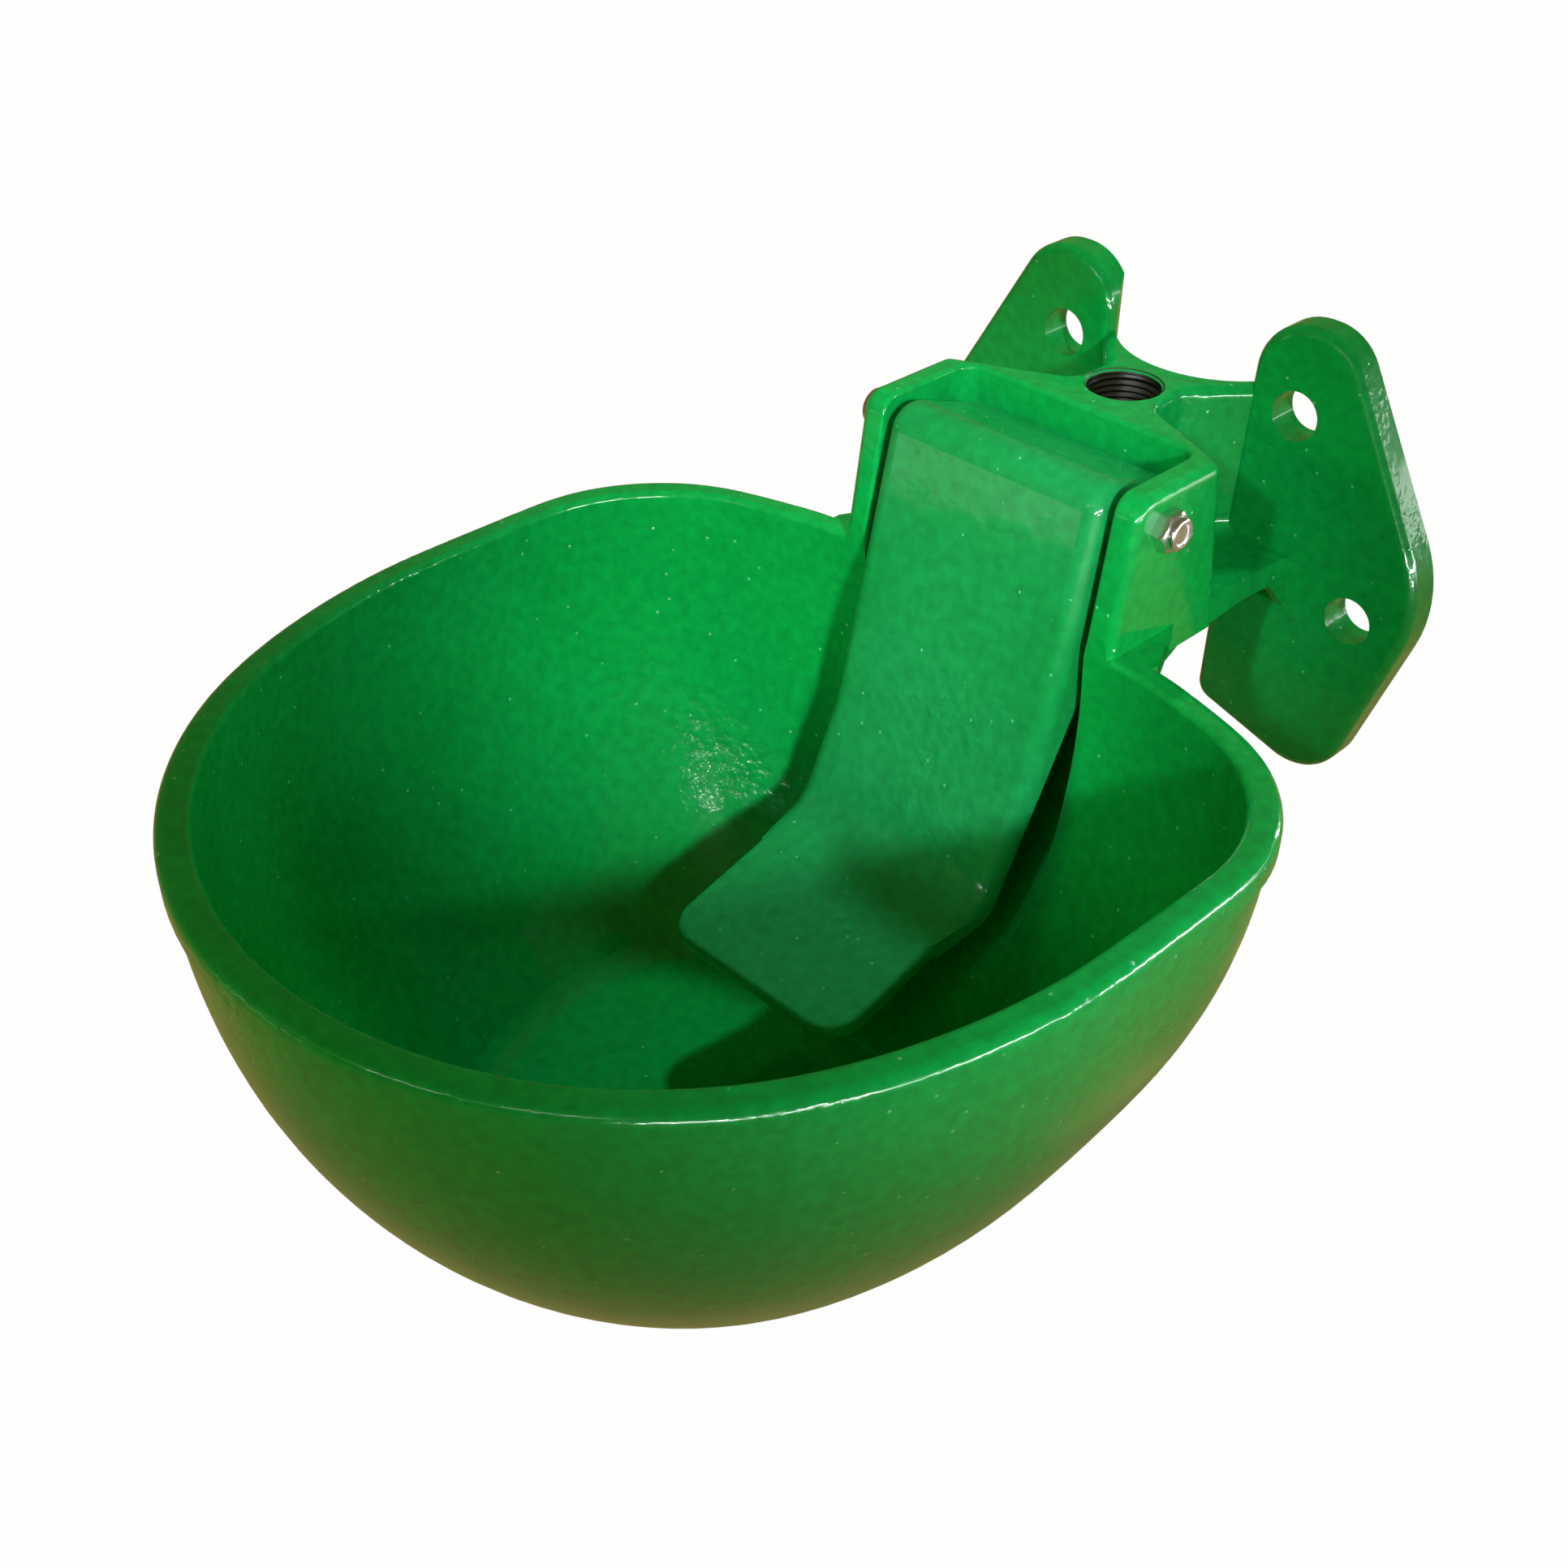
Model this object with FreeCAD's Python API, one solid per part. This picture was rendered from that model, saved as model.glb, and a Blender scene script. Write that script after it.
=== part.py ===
import FreeCAD, Part
import os
from math import cos, pi, radians, sin, sqrt, tan

V = FreeCAD.Vector

# Wall-mounted drinking bowl for cattle and horses. Millimetres, +Z up, the animal stands at -Y.
# The origin is on the wall face, midway between the two upper bolt holes.

# Wall plate: two wings, each with a bolt hole in its ear and one in its leg
plate_thickness = 11.0
plate_draft = 1.6
upper_hole_spacing = 78.8
lower_hole_spacing = 133.4
hole_drop = 51.9
bolt_hole_radius = 7.0
wing_inner_top_x = 25.0
wing_inner_bottom_x = 22.0
ear_top_z = 25.0
ear_radius = 15.5
ear_outer_x = 51.0
wing_corner_x = 88.2
wing_corner_radius = 40.0
crease_z = -40.5
leg_outer_x = 66.0
leg_outer_z = -109.5
leg_inner_z = -95.5
leg_corner_radius = 16.0
leg_inner_radius = 6.0
wing_edge_round = 2.6

# Pipe groove down the back, so that the bowl also fits a round post
groove_radius = 30.0
groove_depth = 18.0

# Housing between the wings, open in front, with the pocket that the tongue hangs in
housing_top_z = 4.0
housing_height = 42.4
housing_width = 93.0
casting_wall = 8.0
pocket_back_y = -53.5
pocket_corner_radius = 5.0
pocket_floor_radius = 6.0
pocket_floor_z = housing_top_z - housing_height - 0.1
cheek_length_top = 34.1
cheek_length_rim = 40.5
cheek_front_top_y = pocket_back_y - cheek_length_top
cheek_front_rim_y = pocket_back_y - cheek_length_rim
cheek_nose_radius = 6.0
cheek_edge_round = 3.2
housing_rear_top_y = pocket_back_y - 1.0
housing_rear_shelf_y = pocket_back_y + 7.0
housing_corner_radius = 4.0
neck_half_width = 13.4
neck_front_y = pocket_back_y + 15.0
neck_rear_y = pocket_back_y + 28.5
neck_foot_half_width = 26.0
neck_corner_radius = 6.0
pocket_lip_round = 1.2
side_pocket_round = 4.0
shelf_thickness = 7.0
shelf_waist = 2.0
shelf_waist_radius = 60.0
gusset_width = 3.0
gusset_depth = 9.0

# Bowl
rim_z = housing_top_z - housing_height
rim_width = 245.0
rim_length = 233.3
rim_back_y = pocket_back_y - 32.2
rim_front_y = rim_back_y - rim_length
rim_back_flat = 120.0
rim_back_slope = 17.0
rim_front_flattening = 4.5
rim_front_radius = rim_width / 2 - rim_front_flattening
rim_front_turn = 66.0
rim_corner_radius = 55.0
rim_band = 8.5
rim_bead = 1.3
rim_bead_height = 7.0
rim_outer_round = 3.0
rim_inner_round = 1.6
rim_lip_fade = 0.2
rim_web_half_width = 56.0
rim_web_rear_y = rim_back_y + 19.7
bowl_centre_y = rim_back_y - 107.8
bowl_depth = 131.0
bowl_wall = 6.0
bowl_floor = 7.0
bowl_base_share = 0.5
bowl_round_share = 0.4
bowl_base_shift = 1.8
bowl_base_round = 14.0
bowl_inner_round = 16.0
bowl_level_depths = [0.0, 0.12, 0.26, 0.4, 0.54, 0.67, 0.79, 0.89, 0.96, 1.0]

# Channel that widens the pocket down the back wall of the bowl
recess_lip_y = pocket_back_y - 25.5
recess_lip_z = rim_z - 13.6
recess_lip_radius = 12.0
recess_back_y = rim_back_y - 0.3
recess_back_z = rim_z - 61.6
recess_back_radius = 30.0
recess_end_y = rim_back_y - 40.3
recess_end_z = rim_z - bowl_depth + 19.4

# Hinge bolt through both cheeks and the tongue, with a self-locking nut
hinge_ahead = 23.4
hinge_below = 10.0
hinge_y = pocket_back_y - hinge_ahead
hinge_z = housing_top_z - hinge_below
hinge_bolt_radius = 3.0
hinge_clearance = 0.1
bolt_end_recess = 0.6
bolt_end_chamfer = 0.6
bolt_head_width = 10.0
bolt_head_height = 4.0
washer_radius = 6.0
washer_thickness = 1.6
nut_width = 10.0
nut_height = 6.0
nut_collar_radius = 4.5
nut_hex_height = 4.2
nut_collar_round = 1.0
insert_radius = 3.9
insert_height = 1.6
insert_cover = 0.6
head_bevel = 0.2

# Tongue that the animal pushes with its muzzle; its side view is placed from the hinge
tongue_side_gap = 2.5
tongue_width = housing_width - 2 * casting_wall - 2 * tongue_side_gap
tongue_foot_step = 3.0
tongue_foot_width = tongue_width - 2 * tongue_foot_step
tongue_plate = 6.0
tongue_side = 5.5
tongue_shoulder_round = 5.0
tongue_rear_top_y = hinge_y + 19.9
tongue_rear_top_z = hinge_z + 1.5
tongue_nose_y = hinge_y - 11.3
tongue_nose_z = hinge_z + 12.0
tongue_nose_radius = 8.0
tongue_knee_y = hinge_y - 31.1
tongue_knee_z = hinge_z - 74.0
tongue_knee_radius = 60.0
tongue_bend_y = hinge_y - 44.6
tongue_bend_z = hinge_z - 102.8
tongue_bend_radius = 16.0
tongue_foot_y = hinge_y - 100.0
tongue_foot_z = hinge_z - 117.8
tongue_foot_plate = 5.6
tongue_foot_corner = 10.0
tongue_foot_round = 1.8
tongue_flange_low_y = hinge_y - 36.1
tongue_flange_low_z = hinge_z - 95.0
tongue_flange_low_radius = 6.0
tongue_flange_mid_y = hinge_y - 14.3
tongue_flange_mid_z = hinge_z - 54.0
tongue_flange_mid_radius = 30.0
tongue_lug_radius = 9.0
tongue_waist_radius = 12.0
pad_radius = 7.5

# Water way: threaded inlet on top, plugged outlet below, valve between them and the pocket
inlet_y = pocket_back_y + 19.8
thread_radius = 10.3
thread_chamfer = 0.8
inlet_thread_depth = 13.5
strainer_room_radius = 10.9
strainer_room_depth = 4.0
gallery_radius = 8.5
boss_radius = 14.0
boss_bottom_z = pocket_floor_z - 21.5
plug_thread_depth = 13.0
valve_z = pocket_floor_z + 13.5
valve_chamber_radius = 9.3
valve_chamber_room = 2.0
spot_face_radius = 13.2
spot_face_depth = 0.5
part_fit = 0.08

# Valve cartridge
gasket_thickness = 1.0
gasket_radius = 12.2
valve_thread_length = 11.5
valve_hex_width = 22.0
valve_hex_length = 6.5
stem_reach = 10.0
seat_set_back = 3.0
nozzle_round = 1.2
nozzle_radius = 7.0
nozzle_length = 9.0
orifice_radius = 4.0
cage_radius = 8.7
cage_length = 16.0
cage_bore = 6.8
cage_window_radius = 2.4
cage_window_set_back = 1.5
seat_lip_radius = 5.0
seat_lip_height = 1.0
stem_clearance = 0.06
stem_neck_radius = 2.5
stem_head_radius = 5.9
stem_head_thickness = 1.6
stem_tail_radius = 2.0
stem_tail_length = 7.0
stem_tip_radius = 6.0
stem_tip_length = 5.0
stem_flute_radius = 1.5
seal_thickness = 2.5
seal_radius = 5.9
tip_gap = 0.3
spring_wire_radius = 0.45
spring_mean_radius = 3.9
spring_turns = 6
retainer_thickness = 2.5
retainer_hole = 2.6
retainer_slot_width = 1.6
retainer_slot_depth = 1.2

# Strainer in the inlet and plug in the lower outlet
strainer_ring_width = 2.2
strainer_ring_height = 3.0
gauze_thickness = 0.6
gauze_hole_radius = 0.8
gauze_pitch = 2.3
plug_collar_radius = 12.6
plug_collar_height = 3.0
plug_shank = 11.0
plug_socket_width = 10.0
plug_socket_depth = 7.0
plug_seal_thickness = 1.5
plug_seal_inset = 0.4
plug_collar_round = 0.8
plug_chamfer = 1.0

# How far cutting shapes reach past the faces they open
past = 1.0


# Geometry helpers
def on_plane(plane, a, b, level):
    if plane == "xy":
        return V(a, b, level)
    if plane == "xz":
        return V(a, level, b)
    return V(level, a, b)


def outline(corners, plane, level):
    # Closed outline from corner points, each with the radius of its round
    count = len(corners)
    rounds = []
    for i, (a, b, radius) in enumerate(corners):
        corner = V(a, b, 0)
        back = (V(corners[i - 1][0], corners[i - 1][1], 0) - corner).normalize()
        ahead = (V(corners[(i + 1) % count][0], corners[(i + 1) % count][1], 0) - corner).normalize()
        half = back.getAngle(ahead) / 2
        reach = radius / tan(half)
        middle = corner + (back + ahead).normalize() * (radius / sin(half) - radius)
        rounds.append((corner + back * reach, middle, corner + ahead * reach))
    edges = []
    for i, (start, middle, end) in enumerate(rounds):
        following = rounds[(i + 1) % count][0]
        start, middle, end, following = [on_plane(plane, p.x, p.y, level)
                                         for p in (start, middle, end, following)]
        if start.distanceToPoint(end) > 1e-6:
            edges.append(Part.Arc(start, middle, end).toShape())
        if end.distanceToPoint(following) > 1e-6:
            edges.append(Part.LineSegment(end, following).toShape())
    return Part.Wire(edges)


def prism(corners, plane, start, end):
    face = Part.Face(outline(corners, plane, start))
    return face.extrude(on_plane(plane, 0, 0, end - start))


def both_sides(shape):
    return shape.fuse(shape.mirror(V(0, 0, 0), V(1, 0, 0)))


def rod_x(radius, x0, x1, y, z):
    return Part.makeCylinder(radius, x1 - x0, V(x0, y, z), V(1, 0, 0))


def rod_y(radius, y0, y1, x, z):
    return Part.makeCylinder(radius, y1 - y0, V(x, y0, z), V(0, 1, 0))


def rod_z(radius, z0, z1, x, y):
    return Part.makeCylinder(radius, z1 - z0, V(x, y, z0), V(0, 0, 1))


def hexagon(width, along, start, length, centre):
    # Hexagonal bar, flat to flat width, along x, y or z
    corner = width / sqrt(3)
    points = []
    for i in range(7):
        a = corner * cos(i * pi / 3)
        b = corner * sin(i * pi / 3)
        points.append({"x": V(start, centre[0] + a, centre[1] + b),
                       "y": V(centre[0] + a, start, centre[1] + b),
                       "z": V(centre[0] + a, centre[1] + b, start)}[along])
    direction = {"x": V(length, 0, 0), "y": V(0, length, 0), "z": V(0, 0, length)}[along]
    return Part.Face(Part.makePolygon(points)).extrude(direction)


def edges_where(shape, test):
    return [edge for edge in shape.Edges if test(edge, edge.BoundBox)]


def save(name, shape):
    print(name, "solids", len(shape.Solids), "valid", shape.isValid(), "volume", round(shape.Volume))
    shape.exportStep("parts/" + name + ".step")


# Bowl
def rim_half():
    # Right half of the rim's outer edge: front arc, side arc, straight side, corner arc, back
    half = rim_width / 2
    turn = radians(rim_front_turn)
    slope = radians(rim_back_slope)
    side_radius = (half - rim_front_radius * sin(turn)) / (1 - sin(turn))
    front_centre = V(0, rim_front_y + rim_front_radius, 0)
    front_end = front_centre + V(sin(turn), -cos(turn), 0) * rim_front_radius
    side_centre = V(half - side_radius, front_end.y + side_radius * cos(turn), 0)
    middle_turn = (turn + pi / 2) / 2
    corner_x = half - rim_corner_radius * (1 - sin(slope))
    corner_y = rim_back_y - (corner_x - rim_back_flat / 2) * tan(slope)
    corner_centre = V(half - rim_corner_radius, corner_y - rim_corner_radius * cos(slope), 0)
    middle_corner = (pi / 2 - slope) / 2
    points = [front_centre - V(0, rim_front_radius, 0),
              front_centre + V(sin(turn / 2), -cos(turn / 2), 0) * rim_front_radius,
              front_end,
              side_centre + V(sin(middle_turn), -cos(middle_turn), 0) * side_radius,
              V(half, side_centre.y, 0),
              V(half, corner_centre.y, 0),
              corner_centre + V(cos(middle_corner), sin(middle_corner), 0) * rim_corner_radius,
              V(corner_x, corner_y, 0),
              V(rim_back_flat / 2, rim_back_y, 0),
              V(0, rim_back_y, 0)]
    return Part.Wire([Part.Arc(points[0], points[1], points[2]).toShape(),
                      Part.Arc(points[2], points[3], points[4]).toShape(),
                      Part.LineSegment(points[4], points[5]).toShape(),
                      Part.Arc(points[5], points[6], points[7]).toShape(),
                      Part.LineSegment(points[7], points[8]).toShape(),
                      Part.LineSegment(points[8], points[9]).toShape()])


def rim_radii(count):
    # Distance from the bowl centre to the rim edge, in even steps of angle from front to back
    centre = V(0, bowl_centre_y, 0)
    rim = rim_half()
    radii = []
    for i in range(count):
        angle = 2 * pi * i / count
        direction = V(abs(sin(angle)), cos(angle), 0)
        ray = Part.LineSegment(centre, centre + direction * rim_width).toShape()
        hits = rim.distToShape(ray)[1]
        radii.append((hits[0][0] - centre).Length)
    return radii


def bowl_level(share, roundness, inset, z, shift):
    # One closed level curve: the rim's shape scaled, rounded towards a circle and set in
    points = []
    for i, radius in enumerate(rim_shape):
        angle = 2 * pi * i / len(rim_shape)
        blended = radius * (1 - roundness) + rim_width / 2 * roundness
        reach = share * blended - inset
        points.append(V(sin(angle) * reach, bowl_centre_y + shift + cos(angle) * reach, z))
    curve = Part.BSplineCurve()
    curve.interpolate(Points=points, PeriodicFlag=True)
    return Part.Wire([curve.toShape()])


def wall_share(t):
    # Outer wall against depth: 1 at the rim, the base's share at the bottom
    return bowl_base_share + (1 - bowl_base_share) * (1 - t ** 2.4) ** 0.91


def wall_slope(t):
    # How much longer a level cut through the wall is than its thickness
    step = 0.01
    run = rim_width / 2 * (wall_share(max(t - step, 0)) - wall_share(t)) / (bowl_depth * step)
    return sqrt(1 + run * run)


def bowl_outside():
    levels = []
    for t in bowl_level_depths:
        bead_step = rim_bead * (1 - t)
        levels.append(bowl_level(wall_share(t), bowl_round_share * t, bead_step,
                                 rim_z - bowl_depth * t, bowl_base_shift * t))
    body = Part.makeLoft(levels, True, False)
    base = edges_where(body, lambda e, b: b.ZMax < rim_z - bowl_depth + 1)
    return body.makeFillet(bowl_base_round, base)


def rim_bead_ring():
    top = bowl_level(1, 0, 0, rim_z, 0)
    bottom = bowl_level(1, 0, 0, rim_z - rim_bead_height, 0)
    return Part.makeLoft([bottom, top], True, True)


def bowl_inside():
    inner_depth = bowl_depth - bowl_floor
    levels = [bowl_level(1, 0, rim_band, rim_z + 5 * past, 0)]
    for t in bowl_level_depths:
        outer_t = t * inner_depth / bowl_depth
        wall = bowl_wall * wall_slope(outer_t) + rim_bead * (1 - outer_t)
        wall += max(1 - t / rim_lip_fade, 0) * (rim_band - wall)
        levels.append(bowl_level(wall_share(outer_t), bowl_round_share * outer_t, wall,
                                 rim_z - inner_depth * t, bowl_base_shift * outer_t))
    body = Part.makeLoft(levels, True, False)
    base = edges_where(body, lambda e, b: b.ZMax < rim_z - inner_depth + 1)
    return body.makeFillet(bowl_inner_round, base)


def bowl_shell(inside):
    shell = bowl_outside().fuse(rim_bead_ring()).removeSplitter().cut(inside)
    inner_half = rim_width / 2 - rim_band
    outer = edges_where(shell, lambda e, b: abs(b.ZMin - rim_z) < 0.1 and b.XMax > inner_half + 1)
    shell = shell.makeFillet(rim_outer_round, outer)
    inner = edges_where(shell, lambda e, b: abs(b.ZMin - rim_z) < 0.1 and b.XMax < inner_half + 1)
    return shell.makeFillet(rim_inner_round, inner)


# Bracket: wings, neck, shelf and housing
def wing():
    # Right wing, its front face drafted both ways from the parting crease
    corners = [(wing_inner_bottom_x, leg_inner_z, leg_inner_radius),
               (leg_outer_x, leg_outer_z, leg_corner_radius),
               (wing_corner_x, crease_z, wing_corner_radius),
               (ear_outer_x, ear_top_z, ear_radius),
               (wing_inner_top_x, ear_top_z, ear_radius)]
    plate = prism(corners, "xz", -plate_thickness - 1, 0)
    draft = [(0, ear_top_z + 1, 0), (-plate_thickness + plate_draft, ear_top_z + 1, 0),
             (-plate_thickness, crease_z, 0), (-plate_thickness + plate_draft, leg_outer_z - 1, 0),
             (0, leg_outer_z - 1, 0)]
    plate = plate.common(prism(draft, "yz", 0, wing_corner_x))
    rim = edges_where(plate, lambda e, b: b.YMax < -plate_thickness + plate_draft + 0.1
                      and b.ZMax - b.ZMin + b.XMax - b.XMin > 0.5
                      and not (b.ZMax - b.ZMin < 0.1 and abs(b.ZMin - crease_z) < 0.1))
    return plate.makeFillet(wing_edge_round, rim)


def housing_plan(level, rear_y):
    half = housing_width / 2
    front_y = cheek_front_top_y + cheek_nose_radius
    shift = rear_y - housing_rear_top_y
    right = [(half, front_y, 0),
             (half, rear_y, housing_corner_radius),
             (neck_half_width, neck_front_y + shift / 3, neck_corner_radius),
             (neck_half_width, neck_rear_y, neck_corner_radius),
             (neck_foot_half_width, -plate_thickness + plate_draft, 0),
             (neck_foot_half_width, -1, 0)]
    left = [(-x, y, r) for x, y, r in reversed(right)]
    return outline(right + left, "xy", level)


def bracket():
    shelf_bottom_z = pocket_floor_z - casting_wall
    shelf_top_z = shelf_bottom_z + shelf_thickness
    half = housing_width / 2
    block = Part.makeLoft([housing_plan(shelf_bottom_z, housing_rear_shelf_y),
                           housing_plan(housing_top_z, housing_rear_top_y)], True, True)
    cheek = prism([(cheek_front_rim_y, shelf_bottom_z, 0),
                   (cheek_front_rim_y, rim_z, 0),
                   (cheek_front_top_y, housing_top_z, cheek_nose_radius),
                   (housing_rear_top_y - 10, housing_top_z, 0),
                   (housing_rear_top_y - 10, shelf_bottom_z, 0)], "yz", -half, half)
    shelf_right = [(half, housing_rear_top_y - 5, 0),
                   (half - shelf_waist, (housing_rear_shelf_y - plate_thickness) / 2, shelf_waist_radius),
                   (half, -plate_thickness / 2, 0)]
    shelf = prism(shelf_right + [(-x, y, r) for x, y, r in reversed(shelf_right)], "xy",
                  shelf_bottom_z, shelf_top_z)
    gusset = prism([(-plate_thickness / 2, shelf_bottom_z + 1, 0),
                    (-plate_thickness - gusset_depth, shelf_bottom_z + 1, 0),
                    (-plate_thickness / 2, shelf_bottom_z - gusset_depth - plate_thickness / 2, 0)],
                   "yz", half - gusset_width, half)
    core = block.fuse([cheek, shelf, both_sides(gusset), both_sides(wing())]).removeSplitter()
    groove = rod_z(groove_radius, leg_outer_z - 10, ear_top_z + 10, 0, groove_radius - groove_depth)
    core = core.cut(groove)

    # Rounded outer edges of the cheeks and their noses
    nose = edges_where(core, lambda e, b: b.YMax < housing_rear_top_y + 1 and abs(b.XMax - b.XMin) < 0.1
                       and abs(abs(b.XMax) - half) < 0.1 and b.ZMax > rim_z + 1 and b.YMax - b.YMin > 0.1
                       and not (b.YMin < cheek_front_rim_y + 1 and b.ZMax < rim_z + 1))
    core = core.makeFillet(cheek_edge_round, nose)

    # Rounds where the side walls and the neck stand on the shelf
    walls_foot = edges_where(core, lambda e, b: b.ZMax - b.ZMin < 0.01 and abs(b.ZMax - shelf_top_z) < 0.01
                             and max(abs(b.XMin), abs(b.XMax)) < half - shelf_waist
                             and b.YMin < -plate_thickness - 0.5)
    return core.makeFillet(side_pocket_round, walls_foot)


def pocket_profile():
    # Pocket, its floor and the channel down the bowl's back wall, seen from the side
    return [(pocket_back_y, housing_top_z + 20, 0),
            (pocket_back_y, pocket_floor_z, pocket_floor_radius),
            (recess_lip_y, recess_lip_z, recess_lip_radius),
            (recess_back_y, recess_back_z, recess_back_radius),
            (recess_end_y, recess_end_z, 0),
            (recess_end_y - 20, recess_end_z, 0),
            (recess_end_y - 20, housing_top_z + 20, 0)]


def pocket():
    half = housing_width / 2 - casting_wall
    space = prism(pocket_profile(), "yz", -half, half)
    corners = edges_where(space, lambda e, b: abs(abs(b.XMax) - half) < 0.01 and b.XMax - b.XMin < 0.01
                          and b.YMax > recess_end_y + 0.1 and b.ZMin < housing_top_z + 19)
    return space.makeFillet(pocket_corner_radius, corners)


def channel_wall():
    # Outside of the channel below the housing, one wall thickness outside the pocket
    half = housing_width / 2
    wire = outline(pocket_profile(), "yz", -half)
    outer = wire.makeOffset2D(casting_wall)
    if outer.BoundBox.YMax < wire.BoundBox.YMax:
        outer = wire.makeOffset2D(-casting_wall)
    spine = Part.Face(outer).extrude(V(housing_width, 0, 0))
    keep = Part.makeBox(housing_width, pocket_back_y + casting_wall - recess_end_y, rim_z - recess_end_z,
                        V(-half, recess_end_y, recess_end_z))
    spine = spine.common(keep)
    back = edges_where(spine, lambda e, b: abs(abs(b.XMax) - half) < 0.01 and b.XMax - b.XMin < 0.01
                       and b.YMin > recess_end_y + 1 and b.ZMax < rim_z - 0.1)
    return spine.makeFillet(casting_wall - 1, back)


def rim_web():
    # The rim's outer edge runs out to the housing on both sides
    half = housing_width / 2
    web = prism([(half - 2, rim_web_rear_y, 0), (half, rim_web_rear_y, 0),
                 (rim_web_half_width, rim_back_y, 0), (rim_web_half_width, rim_back_y - 5, 0),
                 (half - 2, rim_back_y - 5, 0)], "xy", rim_z - rim_bead_height, rim_z)
    return both_sides(web)


def bowl_casting():
    inside = bowl_inside()
    opening = pocket()
    housing = bracket().fuse(channel_wall()).fuse(rim_web())
    housing = housing.fuse(rod_z(boss_radius, boss_bottom_z, valve_z, 0, inlet_y))
    housing = housing.cut(inside).cut(opening)
    housing = housing.makeFillet(pocket_lip_round, pocket_lip(housing))
    housing = housing.cut(water_way()).cut(hinge_and_bolt_holes())
    return bowl_shell(inside).cut(opening).fuse(housing)


def pocket_lip(housing):
    # Edges round the pocket's mouth: along the top and down the front of both cheeks
    half = housing_width / 2 - casting_wall + 0.1
    top = edges_where(housing, lambda e, b: abs(b.ZMax - housing_top_z) < 0.01 and b.ZMax - b.ZMin < 0.01
                      and max(b.XMax, -b.XMin) < half and b.YMax < pocket_back_y + 0.1)
    front = edges_where(housing, lambda e, b: b.XMax - b.XMin < 0.01 and abs(abs(b.XMax) - half) < 0.2
                        and b.YMax < cheek_front_top_y + cheek_nose_radius + 1 and b.ZMin > rim_z + 1)
    return top + front


def water_way():
    inlet = rod_z(thread_radius, housing_top_z - inlet_thread_depth, housing_top_z + past, 0, inlet_y)
    mouth = Part.makeCone(thread_radius, thread_radius + 2 * thread_chamfer, 2 * thread_chamfer,
                          V(0, inlet_y, housing_top_z - thread_chamfer), V(0, 0, 1))
    strainer_room = rod_z(strainer_room_radius, strainer_ledge_z(), housing_top_z - inlet_thread_depth,
                          0, inlet_y)
    gallery = rod_z(gallery_radius, boss_bottom_z - past, housing_top_z, 0, inlet_y)
    outlet = rod_z(thread_radius, boss_bottom_z - past, boss_bottom_z + plug_thread_depth, 0, inlet_y)
    spot_front_y = pocket_back_y - pocket_floor_radius - past
    spot_face = rod_y(spot_face_radius, spot_front_y, valve_face_y(), 0, valve_z)
    seat_bore = rod_y(thread_radius + part_fit, pocket_back_y - past, thread_end_y(), 0, valve_z)
    chamber_back_y = cage_back_y() + valve_chamber_room
    chamber = rod_y(valve_chamber_radius, thread_end_y() - past, chamber_back_y, 0, valve_z)
    return inlet.fuse([mouth, strainer_room, gallery, outlet, spot_face, seat_bore, chamber])


def hinge_and_bolt_holes():
    hinge = rod_x(hinge_bolt_radius + part_fit, -housing_width, housing_width, hinge_y, hinge_z)
    holes = [rod_y(bolt_hole_radius, -plate_thickness - past, past, side * spacing / 2, z)
             for side in (-1, 1)
             for spacing, z in ((upper_hole_spacing, 0), (lower_hole_spacing, -hole_drop))]
    return hinge.fuse(holes)


# Tongue
def set_back(corner, other, depth):
    # A point set back from a corner, square to the run towards another corner
    run = V(other[0] - corner[0], other[1] - corner[1], 0).normalize()
    return (corner[0] - run.y * depth, corner[1] + run.x * depth)


def nearer(edge, wanted, other):
    # True for an edge whose middle lies nearer to one run of side-view points than to another
    middle = edge.valueAt((edge.FirstParameter + edge.LastParameter) / 2)
    spot = Part.Vertex(0, middle.y, middle.z)
    runs = [Part.makePolygon([V(0, p[0], p[1]) for p in run]) for run in (wanted, other)]
    return runs[0].distToShape(spot)[0] < runs[1].distToShape(spot)[0]


def tongue_foot(bend, foot):
    # Flat plate that reaches into the bowl, with round corners and softened edges
    run = V(foot[0] - bend[0], foot[1] - bend[1], 0)
    start = V(bend[0], bend[1], 0) + run * (tongue_bend_radius / run.Length)
    start_back = set_back((start.x, start.y), foot, tongue_foot_plate)
    foot_back = set_back(foot, bend, -tongue_foot_plate)
    half = tongue_foot_width / 2
    plate = prism([(start.x, start.y, 0), foot, (foot_back[0], foot_back[1], 0),
                   (start_back[0], start_back[1], 0)], "yz", -half, half)
    tip = edges_where(plate, lambda e, b: b.XMax - b.XMin < 0.1 and e.Length < tongue_foot_plate + 0.1
                      and b.YMax < (start.x + foot[0]) / 2)
    plate = plate.makeFillet(tongue_foot_corner, tip)
    rim = edges_where(plate, lambda e, b: e.Length > tongue_foot_plate + 0.1
                      and b.YMin < (start.x + foot[0]) / 2)
    return plate.makeFillet(tongue_foot_round, rim)


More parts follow.
